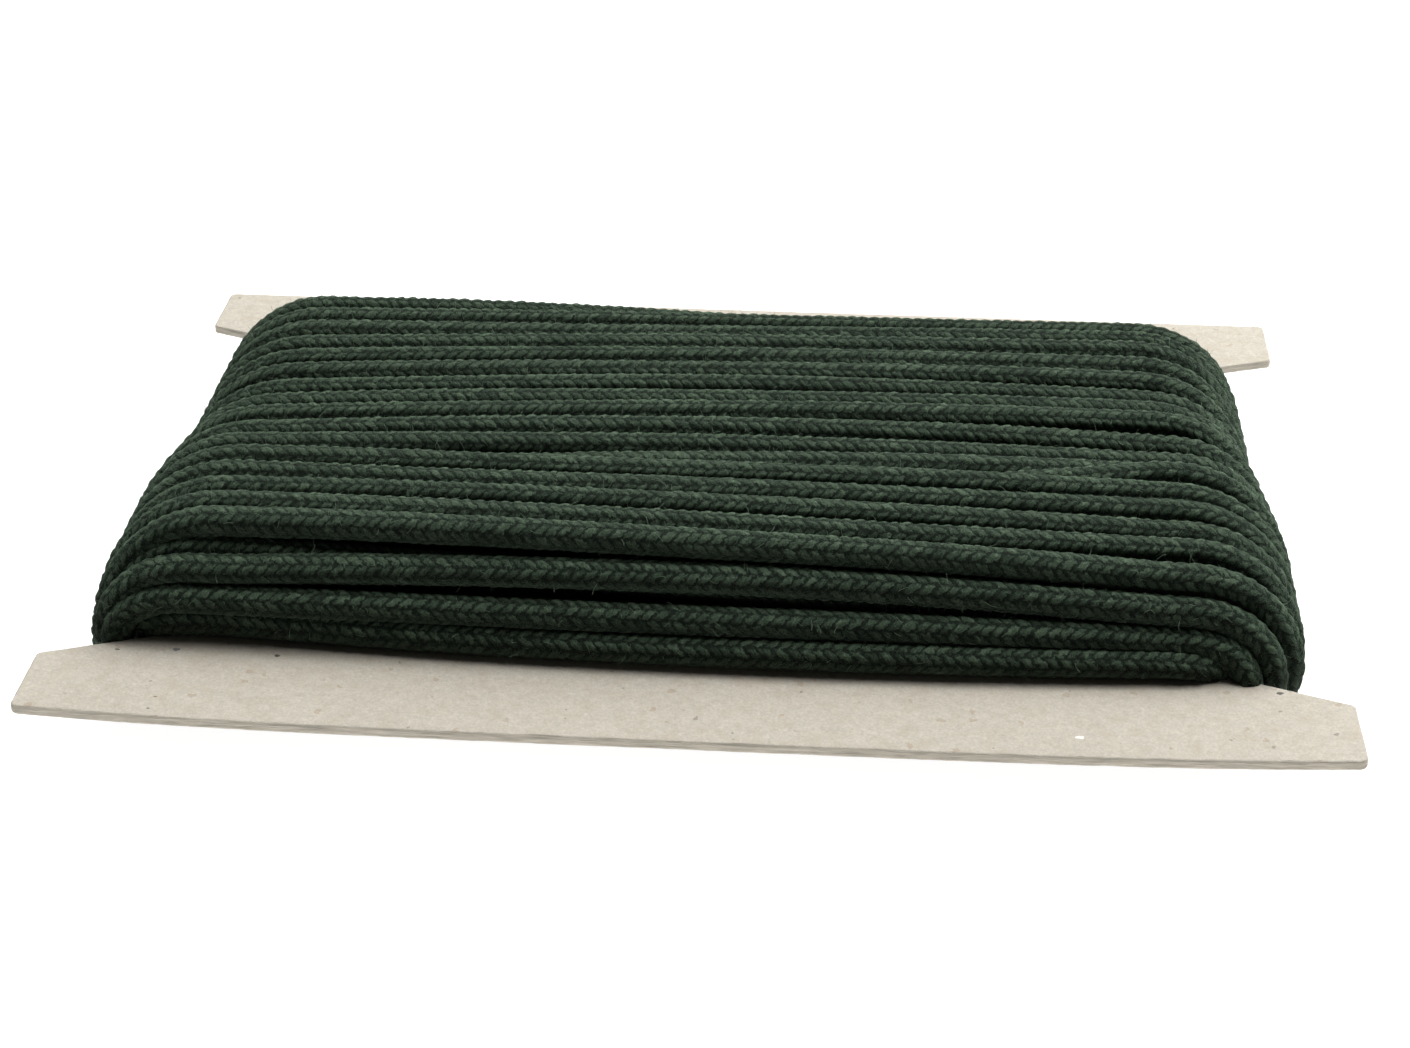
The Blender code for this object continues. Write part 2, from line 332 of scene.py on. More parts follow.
def new_tree(name, kind, inputs, outputs):
    """A node tree with its group input, and its group output to be linked."""
    tree = bpy.data.node_groups.new(name, kind)
    for socket, sort, default in inputs:
        made = tree.interface.new_socket(socket, in_out="INPUT", socket_type="NodeSocket" + sort)
        if default is not None:
            made.default_value = default
    for socket, sort in outputs:
        tree.interface.new_socket(socket, in_out="OUTPUT", socket_type="NodeSocket" + sort)
    return tree, add(tree, "NodeGroupInput").outputs, add(tree, "NodeGroupOutput").inputs


def column(name):
    return [None if value is None else value * MM for value in (getattr(turn, name) for turn in TURNS)]


def filled(values):
    """The values with each missing one put evenly between the nearest that are there."""
    known = [k for k, value in enumerate(values) if value is not None]
    return np.interp(range(len(values)), known, [values[k] for k in known])


def laid(lie, tucked):
    """A place for each turn: the first and last few as given, the rest spread evenly."""
    places = [None] * len(TURNS)
    places[: len(lie.first_few)] = lie.first_few
    places[-len(lie.last_few):] = lie.last_few
    between = [k for k, place in enumerate(places) if place is None and not tucked[k]]
    for k, place in zip(between, np.linspace(lie.spread_from, lie.spread_to, len(between))):
        places[k] = place
    return filled(places) * MM


def ease(share):
    return share * share * (3 - 2 * share)


def along(x, columns):
    """A smooth curve through a turn's values at the three columns."""
    left, middle, right = columns
    share = np.clip(x / COLUMN_X, -1.2, 1.2)
    outer = (left * share * (share - 1) + right * share * (share + 1)) / 2
    return outer + middle * (1 - share * share)


class Winding:
    """Where the middle of every turn runs, above and beside the card's middle."""

    def __init__(self):
        hidden = [[value is None for value in column(name)] for name in ("y_left", "y_middle", "y_right")]
        self.tucked = np.array([left or middle for left, middle, right in zip(*hidden)])
        self.places = np.transpose([filled(column(name)) for name in ("y_left", "y_middle", "y_right")])
        rises = [filled(column(name)) for name in ("rise_left", "rise_middle", "rise_right")]
        self.rises = np.transpose(rises) + CARD_THICK / 2 - np.transpose(hidden) * TUCK
        beside, self.below, self.depths = (laid(lie, self.tucked) for lie in (AT_SIDES, UNDERNEATH, DEPTHS))
        self.reaches = {
            side: np.array(column("reach")) - np.array(hidden[1 + side]) * TUCK for side in (-1, 1)
        }
        self.beside = {side: beside.copy() for side in (-1, 1)}
        for side, corners in CORNERS.items():
            for corner in corners:
                self.reaches[side][corner.turn] = corner.reach * MM
                self.beside[side][corner.turn] = corner.beside * MM
        self.depths = self.depths - self.tucked * TUCK * 0.9

    def reach(self, k, side):
        return self.reaches[side][k]

    def bend(self, height):
        return BEND_LEAST + BEND_GROWTH * height

    def top(self, k, share):
        """The run over the card, for shares from -1 at the left bend to 1 at the right one."""
        left = self.reach(k, -1) - self.bend(self.rises[k][0])
        right = self.reach(k, 1) - self.bend(self.rises[k][2])
        x = share * (left + (right - left) * ease((share + 1) / 2))
        return np.transpose([x, along(x, self.places[k]), along(x, self.rises[k])])

    def side(self, k, side, share):
        """A side's bend, for shares from 0 on top to 1 underneath."""
        low = share > 0.5
        height = np.where(low, self.depths[k], self.rises[k][1 + side])
        bend = self.bend(height)
        x = side * (self.reach(k, side) - bend + bend * np.sin(math.pi * share))
        fall = 1 - ease(np.abs(np.cos(math.pi * share)))
        start = np.where(low, self.below[k], along(x, self.places[k]))
        y = start + (self.beside[side][k] - start) * fall
        z = np.where(low, self.depths[k], along(x, self.rises[k])) * np.cos(math.pi * share)
        return np.transpose([x, y, z])

    def under(self, k, share):
        """The run under the card from the right to the left, where it has moved on to the next turn."""
        following = min(k + 1, len(TURNS) - 1)
        moved = ease((1 - share) / 2)[:, None]
        here, there = (
            np.transpose([
                share * (
                    np.where(share > 0, self.reach(n, 1), self.reach(n, -1)) - self.bend(self.depths[n])
                ),
                np.full(len(share), self.below[n]),
                np.full(len(share), -self.depths[n]),
            ])
            for n in (k, following)
        )
        return here * (1 - moved) + there * moved

    def line(self):
        """The whole cord from its hidden start to its hidden end, and which of its points lie underneath."""
        flat = np.linspace(-1, 1, 240, endpoint=False)
        bend = np.linspace(0, 1, 60, endpoint=False)
        runs = [self.hidden_end(0, np.linspace(0, -1, 60, endpoint=False))]
        lying = [np.ones(60, bool)]
        for k in range(len(TURNS)):
            runs += [self.side(k, -1, 1 - bend), self.top(k, flat), self.side(k, 1, bend)]
            lying += [np.zeros(60, bool), np.zeros(240, bool), np.zeros(60, bool)]
            if k + 1 < len(TURNS):
                runs.append(self.under(k, -flat))
                lying.append(np.ones(240, bool))
        runs.append(self.hidden_end(len(TURNS) - 1, np.linspace(1, 0, 60)))
        lying.append(np.ones(60, bool))
        return np.concatenate(runs), np.concatenate(lying)

    def hidden_end(self, k, share):
        """Half an under run that goes up between the turns, where the cord's end is kept."""
        hidden = ease(1 - np.abs(share))
        reach = np.where(share > 0, self.reach(k, 1), self.reach(k, -1)) - self.bend(self.depths[k])
        y = self.below[k] * (1 - 0.2 * hidden)
        return np.transpose([share * reach, y, -self.depths[k] - END_LIFT * hidden])


def even_steps(points, step, under_step=None, underneath=None):
    """The line again with even steps, longer ones where it lies underneath."""
    gaps = np.linalg.norm(np.diff(points, axis=0), axis=1)
    if underneath is not None:
        wide = underneath[:-1] & underneath[1:]
        weighted = gaps / np.where(wide, under_step, step)
    else:
        weighted = gaps / step
    counted = np.concatenate([[0], np.cumsum(weighted)])
    wanted = np.linspace(0, counted[-1], int(round(counted[-1])) + 1)
    return np.transpose([np.interp(wanted, counted, points[:, axis]) for axis in range(3)])


def smoothed(points, passes):
    for _ in range(passes):
        middle = (points[:-2] + 2 * points[1:-1] + points[2:]) / 4
        points = np.concatenate([points[:1], middle, points[-1:]])
    return points


def wobble(points, amount):
    """Small slow waves, as hand-guided turns have."""
    length = np.concatenate([[0], np.cumsum(np.linalg.norm(np.diff(points, axis=0), axis=1))])
    across = np.sin(length / 0.031 + 1.3) + np.sin(length / 0.0173 + 4.1) * 0.6
    rise = np.sin(length / 0.023 + 2.2) + np.sin(length / 0.0141) * 0.6
    moved = points.copy()
    moved[:, 1] += across * amount
    moved[:, 2] += rise * amount * 0.6
    return moved


def linked(name, data):
    """A new object, put in the scene."""
    made = bpy.data.objects.new(name, data)
    bpy.context.scene.collection.objects.link(made)
    return made


def cord_line(name, points):
    """A curve object of one open line."""
    curve = bpy.data.curves.new(name, "CURVE")
    curve.dimensions = "3D"
    spline = curve.splines.new("POLY")
    spline.points.add(len(points) - 1)
    spline.points.foreach_set(
        "co", np.column_stack([points, np.ones(len(points))]).astype(np.float32).ravel()
    )
    return linked(name, curve)


def lobe_height(tree, around, length, pitch, columns, slant):
    """Wires up the braid: how high a lobe stands at a place round and along the cord, and its own tone."""
    counted = times(tree, around, columns)
    number = calc(tree, "FLOOR", counted)
    across = calc(tree, "SUBTRACT", counted, number)
    odd = calc(tree, "MODULO", number, 2.0)
    sign = times_plus(tree, odd, -2.0, 1.0)
    leaning = times(tree, times(tree, calc(tree, "SUBTRACT", across, 0.5), sign), slant)
    place = calc(tree, "ADD", calc(tree, "DIVIDE", length, pitch), leaning)
    place = times_plus(tree, odd, 0.5, place)
    spot = joined(tree, times(tree, number, 7.3), times(tree, place, 0.23))
    uneven = first_of(tree, "ShaderNodeTexNoise", {"Vector": spot, "Scale": 1.0, "Detail": 1.0})
    place = times_plus(tree, calc(tree, "SUBTRACT", uneven, 0.5), 1.1, place)
    step = calc(tree, "FLOOR", place)
    inside = calc(tree, "SUBTRACT", place, step)
    lobe = joined(tree, number, step, 3.5)
    tone = add(tree, "ShaderNodeTexWhiteNoise", {"Vector": lobe}, noise_dimensions="3D").outputs["Value"]
    wide = calc(tree, "POWER", calc(tree, "SINE", times(tree, across, math.pi)), 0.55)
    long = calc(
        tree, "POWER", calc(tree, "SINE", times(tree, calc(tree, "POWER", inside, 1.4), math.pi)), 0.6
    )
    height = times(tree, times(tree, wide, long), times_plus(tree, tone, 0.35, 0.75))
    return height, tone, across, inside


def braid_tree():
    """A tree that makes the braided cord along a line."""
    tree, given, result = new_tree("braided_cord", "GeometryNodeTree", (
        ("Line", "Geometry", None),
        ("Radius", "Float", 2.1 * MM),
        ("Lobe Height", "Float", 0.4 * MM),
        ("Lobe Pitch", "Float", 2.25 * MM),
        ("Columns", "Float", 8.0),
        ("Slant", "Float", 0.8),
        ("Turn", "Float", 0.0),
        ("Twist", "Float", 2.0),
        ("Profile Points", "Int", PROFILE_POINTS),
        ("From", "Float", 0.0),
        ("To", "Float", 100.0),
        ("Floor", "Float", 0.1 * MM),
        ("Material", "Material", None),
    ), (("Cord", "Geometry"),))
    spline = add(tree, "GeometryNodeSplineParameter").outputs
    position = first_of(tree, "GeometryNodeInputPosition")
    line = stored(tree, given["Line"], "length", spline["Length"], "FLOAT")
    line = stored(tree, line, "middle", position, "FLOAT_VECTOR")
    circle = first_of(
        tree, "GeometryNodeCurvePrimitiveCircle",
        {"Resolution": given["Profile Points"], "Radius": given["Radius"]}
    )
    circle = stored(tree, circle, "around", spline["Factor"], "FLOAT")
    mesh = first_of(
        tree, "GeometryNodeCurveToMesh", {"Curve": line, "Profile Curve": circle, "Fill Caps": True}
    )
    length = named(tree, "length", "FLOAT")
    middle = named(tree, "middle", "FLOAT_VECTOR")
    around = named(tree, "around", "FLOAT")
    drift = first_of(
        tree, "ShaderNodeTexNoise", {"W": times(tree, length, 4.0), "Scale": 1.0, "Detail": 1.0},
        noise_dimensions="1D"
    )
    twist = times_plus(tree, calc(tree, "SUBTRACT", drift, 0.5), given["Twist"], given["Turn"])
    turned = calc(
        tree, "FRACT",
        calc(tree, "ADD", around, calc(tree, "ADD", calc(tree, "DIVIDE", twist, given["Columns"]), 1.0))
    )
    height = lobe_height(tree, turned, length, given["Lobe Pitch"], given["Columns"], given["Slant"])[0]
    outward = calc_vector(tree, "NORMALIZE", calc_vector(tree, "SUBTRACT", position, middle))
    offset = first_of(
        tree, "ShaderNodeVectorMath", {0: outward, "Scale": times(tree, height, given["Lobe Height"])},
        operation="SCALE"
    )
    mesh = first_of(tree, "GeometryNodeSetPosition", {"Geometry": mesh, "Offset": offset})
    apart = split(tree, position)
    resting = joined(tree, apart[0], apart[1], calc(tree, "MAXIMUM", apart[2], given["Floor"]))
    mesh = first_of(tree, "GeometryNodeSetPosition", {"Geometry": mesh, "Position": resting})
    angle = times(tree, turned, 2 * math.pi)
    lay = joined(tree, calc(tree, "COSINE", angle), calc(tree, "SINE", angle), length)
    mesh = stored(tree, mesh, "lay", lay, "FLOAT_VECTOR")
    before = compared(tree, length, "LESS_THAN", given["From"])
    beyond = compared(tree, length, "GREATER_EQUAL", given["To"])
    outside = first_of(tree, "FunctionNodeBooleanMath", {0: before, 1: beyond}, operation="OR")
    mesh = first_of(
        tree, "GeometryNodeDeleteGeometry", {"Geometry": mesh, "Selection": outside}, domain="FACE"
    )
    for spare in ("length", "middle", "around"):
        mesh = first_of(tree, "GeometryNodeRemoveAttribute", {"Geometry": mesh, "Name": spare})
    mesh = first_of(tree, "GeometryNodeSetShadeSmooth", {"Geometry": mesh})
    mesh = first_of(tree, "GeometryNodeRealizeInstances", {"Geometry": mesh})
    mesh = first_of(tree, "GeometryNodeSetMaterial", {"Geometry": mesh, "Material": given["Material"]})
    tree.links.new(mesh, result["Cord"])
    return tree


def hair_tree():
    """A tree that scatters short bent hairs over a surface."""
    tree, given, result = new_tree("loose_hairs", "GeometryNodeTree", (
        ("Surface", "Geometry", None),
        ("Density", "Float", 30000.0),
        ("Length", "Float", 1.2 * MM),
        ("Thickness", "Float", 0.02 * MM),
        ("Lean", "Float", 0.9),
        ("Core", "Vector", None),
        ("Centre", "Vector", None),
        ("Seed", "Int", 3),
        ("Material", "Material", None),
    ), (("Hairs", "Geometry"),))
    position = calc_vector(tree, "SUBTRACT", first_of(tree, "GeometryNodeInputPosition"), given["Centre"])
    inner = calc_vector(
        tree, "MAXIMUM", calc_vector(tree, "MINIMUM", position, given["Core"]),
        calc_vector(tree, "MULTIPLY", given["Core"], (-1.0, -1.0, -1.0))
    )
    outward = calc_vector(tree, "NORMALIZE", calc_vector(tree, "SUBTRACT", position, inner))
    facing = add(
        tree, "ShaderNodeVectorMath", {0: outward, 1: first_of(tree, "GeometryNodeInputNormal")},
        operation="DOT_PRODUCT"
    ).outputs["Value"]
    height = split(tree, position)[2]
    clear = compared(tree, height, "GREATER_THAN", HAIR_LOWEST)
    open_side = compared(tree, facing, "GREATER_THAN", 0.35)
    free = first_of(tree, "FunctionNodeBooleanMath", {0: clear, 1: open_side}, operation="AND")
    scattered = add(
        tree, "GeometryNodeDistributePointsOnFaces",
        {"Mesh": given["Surface"], "Selection": free, "Density": given["Density"], "Seed": given["Seed"]}
    )
    tip = joined(tree, times(tree, given["Length"], 0.55), 0.0, given["Length"])
    half = joined(tree, times(tree, given["Length"], 0.1), 0.0, times(tree, given["Length"], 0.6))
    hair = first_of(
        tree, "GeometryNodeCurveQuadraticBezier",
        {"Resolution": 2, "Start": (0, 0, 0), "Middle": half, "End": tip}
    )
    section = first_of(
        tree, "GeometryNodeCurvePrimitiveCircle", {"Resolution": 3, "Radius": given["Thickness"]}
    )
    hair = first_of(tree, "GeometryNodeCurveToMesh", {"Curve": hair, "Profile Curve": section})
    lean = times(tree, given["Lean"], -1.0)
    least = joined(tree, lean, lean, -math.pi)
    most = joined(tree, given["Lean"], given["Lean"], math.pi)
    turned = first_of(
        tree, "FunctionNodeRandomValue", {"Min": least, "Max": most, "Seed": given["Seed"]},
        data_type="FLOAT_VECTOR"
    )
    rotation = first_of(
        tree, "FunctionNodeRotateRotation", {"Rotation": scattered.outputs["Rotation"], "Rotate By": turned},
        rotation_space="LOCAL"
    )
    size = add(
        tree, "FunctionNodeRandomValue", {2: 0.35, 3: 1.3, "Seed": given["Seed"]}, data_type="FLOAT"
    ).outputs[1]
    hairs = first_of(
        tree, "GeometryNodeInstanceOnPoints",
        {"Points": scattered.outputs["Points"], "Instance": hair, "Rotation": rotation, "Scale": size}
    )
    hairs = first_of(tree, "GeometryNodeRealizeInstances", {"Geometry": hairs})
    hairs = first_of(tree, "GeometryNodeSetMaterial", {"Geometry": hairs, "Material": given["Material"]})
    tree.links.new(hairs, result["Hairs"])
    return tree


def grown(guide, tree, name, values):
    """The plain mesh that a tree makes from a guide, as a new object, for the values of its named inputs."""
    modifier = guide.modifiers.new(tree.name, "NODES")
    modifier.node_group = tree
    for socket in tree.interface.items_tree:
        if socket.in_out == "INPUT" and socket.name in values:
            modifier[socket.identifier] = values[socket.name]
    guide.update_tag()
    bpy.context.view_layer.update()
    evaluated = guide.evaluated_get(bpy.context.evaluated_depsgraph_get())
    mesh = bpy.data.meshes.new_from_object(evaluated)
    guide.modifiers.remove(modifier)
    while mesh.materials[0] is None:
        mesh.materials.pop(index=0)
    mesh.name = name
    return linked(name, mesh)


def tree_named(name, make):
    return bpy.data.node_groups.get(name) or make()


def lobes_group():
    """The braid's shading: how high a lobe stands, its own tone and the fibres along it."""
    tree, given, result = new_tree("yarn_lobes", "ShaderNodeTree", (
        ("Lay", "Vector", None),
        ("Pitch", "Float", 2.25 * MM),
        ("Columns", "Float", 8.0),
        ("Slant", "Float", 0.8),
        ("Place", "Vector", None),
        ("Ragged", "Float", 0.5),
    ), (("Lobe", "Float"), ("Tone", "Float"), ("Fibre", "Float")))
    lay = split(tree, given["Lay"])
    angle = calc(tree, "DIVIDE", calc(tree, "ARCTAN2", lay[1], lay[0]), 2 * math.pi)
    fuzz = add(
        tree, "ShaderNodeTexNoise",
        {"Vector": given["Place"], "Scale": 1500.0, "Detail": 3.0, "Roughness": 0.7}
    ).outputs["Color"]
    fuzz = add(tree, "ShaderNodeSeparateColor", {0: fuzz}).outputs
    sideways = calc(
        tree, "DIVIDE", times(tree, calc(tree, "SUBTRACT", fuzz[0], 0.5), given["Ragged"]), given["Columns"]
    )
    lengthways = times(
        tree, times(tree, calc(tree, "SUBTRACT", fuzz[1], 0.5), given["Ragged"]), given["Pitch"]
    )
    around = calc(tree, "FRACT", calc(tree, "ADD", calc(tree, "ADD", angle, sideways), 1.0))
    height, tone, across, inside = lobe_height(
        tree, around, calc(tree, "ADD", lay[2], lengthways), given["Pitch"], given["Columns"], given["Slant"]
    )
    shift = times(tree, tone, 37.0)
    strand = joined(tree, times(tree, inside, 3.4), times(tree, across, 0.8), shift)
    ragged = add(
        tree, "ShaderNodeTexNoise", {"Vector": strand, "Scale": 1.6, "Detail": 2.0, "Roughness": 0.6},
        noise_dimensions="3D"
    ).outputs["Fac"]
    spun = times_plus(tree, calc(tree, "SUBTRACT", ragged, 0.5), 9.0, times(tree, inside, 8.0 * math.pi))
    fibre = times_plus(tree, calc(tree, "SINE", spun), times(tree, ragged, 0.8), 0.5)
    tree.links.new(height, result["Lobe"])
    tree.links.new(tone, result["Tone"])
    tree.links.new(fibre, result["Fibre"])
    return tree


def mottle_group():
    """Soft clouds of tone at a given size."""
    tree, given, result = new_tree("soft_mottle", "ShaderNodeTree", (
        ("Vector", "Vector", None),
        ("Scale", "Float", 100.0),
        ("Detail", "Float", 3.0),
        ("Contrast", "Float", 1.0),
    ), (("Tone", "Float"),))
    cloud = add(
        tree, "ShaderNodeTexNoise",
        {"Vector": given["Vector"], "Scale": given["Scale"], "Detail": given["Detail"], "Roughness": 0.6}
    ).outputs["Fac"]
    spread = times(tree, calc(tree, "SUBTRACT", cloud, 0.5), given["Contrast"])
    tree.links.new(calc(tree, "ADD", spread, 0.5), result["Tone"])
    return tree


def flecks_group():
    """Scattered specks, some drawn out into short fibres."""
    tree, given, result = new_tree("flecks", "ShaderNodeTree", (
        ("Vector", "Vector", None),
        ("Scale", "Float", 300.0),
        ("Size", "Float", 0.2),
        ("Share", "Float", 0.1),
    ), (("Mask", "Float"),))
    bent = add(
        tree, "ShaderNodeTexNoise",
        {"Vector": given["Vector"], "Scale": times(tree, given["Scale"], 2.0), "Detail": 1.0}
    ).outputs["Color"]
    shift = first_of(
        tree, "ShaderNodeVectorMath",
        {
            0: calc_vector(tree, "SUBTRACT", bent, (0.5, 0.5, 0.5)),
            "Scale": calc(tree, "DIVIDE", 0.7, given["Scale"])
        },
        operation="SCALE"
    )
    place = calc_vector(tree, "ADD", given["Vector"], shift)
    cells = add(tree, "ShaderNodeTexVoronoi", {"Vector": place, "Scale": given["Scale"]}, feature="F1")
    chance = add(tree, "ShaderNodeSeparateColor", {0: cells.outputs["Color"]}).outputs
    chosen = calc(tree, "LESS_THAN", chance[0], given["Share"])
    size = times(tree, given["Size"], times_plus(tree, chance[1], 0.9, 0.35))
    near = calc(tree, "LESS_THAN", cells.outputs["Distance"], size)
    tree.links.new(times(tree, chosen, near), result["Mask"])
    return tree


def use_group(tree, name, make, inputs):
    return add(tree, "ShaderNodeGroup", inputs, node_tree=tree_named(name, make)).outputs


def mottle(tree, place, scale, detail, contrast):
    inputs = {"Vector": place, "Scale": scale, "Detail": detail, "Contrast": contrast}
    return use_group(tree, "soft_mottle", mottle_group, inputs)["Tone"]


def fleck_mask(tree, place, scale, size, share):
    inputs = {"Vector": place, "Scale": scale, "Size": size, "Share": share}
    return use_group(tree, "flecks", flecks_group, inputs)["Mask"]


def blend_colour(tree, share, below, above):
    return add(tree, "ShaderNodeMix", {0: share, 6: below, 7: above}, data_type="RGBA").outputs[2]


def new_material(name):
    made = bpy.data.materials.new(name)
    made.use_nodes = True
    return made, made.node_tree, made.node_tree.nodes["Principled BSDF"]


def cord_material(name, cord, depth):
    """Matt green yarn, with painted shade between the lobes and painted highlights on fibres along each lobe.
    """
    made, tree, shader = new_material(name)
    lay = add(tree, "ShaderNodeAttribute", attribute_name="lay").outputs["Vector"]
    place = add(tree, "ShaderNodeTexCoord").outputs["Object"]
    lobes = use_group(
        tree, "yarn_lobes", lobes_group,
        {
            "Lay": lay, "Pitch": cord.lobe_pitch, "Columns": float(cord.columns), "Slant": cord.slant,
            "Place": place, "Ragged": 0.9
        }
    )
    cloud = mottle(tree, place, 55.0, 2.0, 1.2)
    grain = mottle(tree, place, 2600.0, 2.0, 1.5)
    raised = ranged(tree, lobes["Lobe"], 0.05, 0.85, 0.0, 1.0, "SMOOTHSTEP")
    streak = ranged(tree, lobes["Fibre"], 0.1, 0.9, 0.0, 1.0)
    tuft = mottle(tree, place, 900.0, 2.0, 3.0)
    # Painted highlight: the lobes' crests take the lighter colour, in streaks and tufts
    light = times(tree, raised, times_plus(tree, streak, 0.5, times(tree, lobes["Tone"], 0.3)))
    light = times(tree, light, times_plus(tree, grain, 0.9, 0.4))
    light = first_of(
        tree, "ShaderNodeMath", {0: light, 1: times_plus(tree, tuft, 0.9, 0.55)}, operation="MULTIPLY",
        use_clamp=True
    )
    # Painted shade: the grooves between the lobes take the darker gap colour
    colour = blend_colour(tree, raised, tuple(cord.painted_gap_shade), tuple(cord.green))
    colour = blend_colour(tree, light, colour, tuple(cord.lit))
    # Painted shade: the yarn's colour is darker on its sides that face down, where less light falls, and the
    # soft mottle varies its tone at random.
    upward = split(tree, add(tree, "ShaderNodeNewGeometry").outputs["Normal"])[2]
    painted_flank_shade = ranged(tree, upward, -0.1, 0.7, 0.42, 1.0, "SMOOTHSTEP")
    value = times(tree, painted_flank_shade, times_plus(tree, cloud, 0.5, 0.85))
    wear_mottle_and_shade = first_of(tree, "ShaderNodeHueSaturation", {"Value": value, "Color": colour})
    relief = times_plus(tree, lobes["Fibre"], 0.9, lobes["Lobe"])
    relief = times_plus(tree, grain, 0.12, relief)
    bump = first_of(tree, "ShaderNodeBump", {"Strength": 1.0, "Distance": depth, "Height": relief})
    feed(tree, shader, {
        "Base Color": wear_mottle_and_shade, "Roughness": 0.85, "Specular IOR Level": 0.1, "Sheen Weight": 0.35,
        "Sheen Roughness": 0.2, "Sheen Tint": (0.45, 0.64, 0.43, 1.0), "Normal": bump,
    })
    return made


def plain_yarn_material(name, colour):
    """Single loose fibres, a little lighter here and there."""
    made, tree, shader = new_material(name)
    place = add(tree, "ShaderNodeTexCoord").outputs["Object"]
    cloud = mottle(tree, place, 400.0, 1.0, 2.0)
    tone = first_of(
        tree, "ShaderNodeHueSaturation", {"Value": times_plus(tree, cloud, 0.8, 0.9), "Color": colour}
    )
    feed(tree, shader, {"Base Color": tone, "Roughness": 0.9})
    return made


def board_material(card):
    """Pressed grey board: mottled pulp with flecks and short fibres, streaked along its cut edge, and the cut
    edge painted lighter than the face.
    """
    made, tree, shader = new_material("greyboard_pulp")
    place = add(tree, "ShaderNodeTexCoord").outputs["Object"]
    clouds = mottle(tree, place, 60.0, 4.0, 1.6)
    pulp = mottle(tree, place, 800.0, 4.0, 2.6)
    rusty = fleck_mask(tree, place, 420.0, 0.22, 0.20)
    dark = fleck_mask(tree, calc_vector(tree, "ADD", place, (3.1, 1.7, 0.0)), 520.0, 0.16, 0.10)
    pale = fleck_mask(tree, calc_vector(tree, "ADD", place, (5.3, 8.7, 0.0)), 700.0, 0.20, 0.08)
    brown = mottle(tree, calc_vector(tree, "ADD", place, (7.7, 2.9, 0.0)), 380.0, 4.0, 3.4)
    fine = mottle(tree, place, 2600.0, 3.0, 2.6)
    streaky = first_of(tree, "ShaderNodeMapping", {"Vector": place, "Scale": (1.0, 1.0, 14.0)})
    layers = mottle(tree, streaky, 220.0, 3.0, 2.2)
    face = split(tree, add(tree, "ShaderNodeNewGeometry").outputs["Normal"])[2]
    upright = ranged(tree, calc(tree, "ABSOLUTE", face), 0.55, 0.9, 1.0, 0.0)
    tone = times_plus(tree, clouds, 0.08, times_plus(tree, pulp, 0.13, times_plus(tree, fine, 0.22, 0.8)))
    colour = first_of(tree, "ShaderNodeHueSaturation", {"Value": tone, "Color": tuple(card.board)})
    tinged = ranged(tree, brown, 0.4, 1.1, 0.0, 0.4)
    colour = blend_colour(tree, tinged, colour, (0.40, 0.34, 0.26, 1.0))
    colour = blend_colour(tree, times(tree, rusty, 0.35), colour, (0.30, 0.20, 0.12, 1.0))
    colour = blend_colour(tree, times(tree, dark, 0.45), colour, (0.10, 0.08, 0.06, 1.0))
    colour = blend_colour(tree, times(tree, pale, 0.35), colour, (0.62, 0.60, 0.55, 1.0))
    flat = calc_vector(tree, "MULTIPLY", place, (1.0, 1.7, 0.0))
    ragged = times_plus(tree, pulp, 1.2, 0.1)
    for mark in MARKS:
        away = add(
            tree, "ShaderNodeVectorMath", {0: flat, 1: (mark.x * MM, mark.y * 1.7 * MM, 0.0)},
            operation="DISTANCE"
        ).outputs["Value"]
        near = calc(tree, "LESS_THAN", away, times(tree, ragged, mark.size * MM))
        on_top = calc(tree, "GREATER_THAN", face, 0.9)
        colour = blend_colour(tree, times(tree, times(tree, near, on_top), 0.8), colour, mark.colour)
    # Partly painted light: the cut edge takes a colour lighter than the face, as light from the front would
    # make it
    edge = first_of(
        tree, "ShaderNodeHueSaturation",
        {"Value": times_plus(tree, layers, 0.5, 0.75), "Color": tuple(card.edge)}
    )
    colour = blend_colour(tree, upright, colour, edge)
    relief = calc(tree, "ADD", times(tree, pulp, 0.5), times(tree, times(tree, layers, upright), 1.5))
    bump = first_of(tree, "ShaderNodeBump", {"Strength": 0.6, "Distance": 0.1 * MM, "Height": relief})
    feed(tree, shader, {"Base Color": colour, "Roughness": 0.88, "Specular IOR Level": 0.3, "Normal": bump})
    return made


def finish_piece(piece, node):
    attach(piece, "root")
    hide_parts(node)


def cord_values(cord, material):
    return {
        "Radius": cord.diameter / 2 - cord.lobe_height,
        "Lobe Height": cord.lobe_height,
        "Lobe Pitch": cord.lobe_pitch,
        "Columns": float(cord.columns),
        "Slant": cord.slant,
        "Turn": cord.lobe_turn,
        "Twist": cord.twist,
        "Material": material,
    }


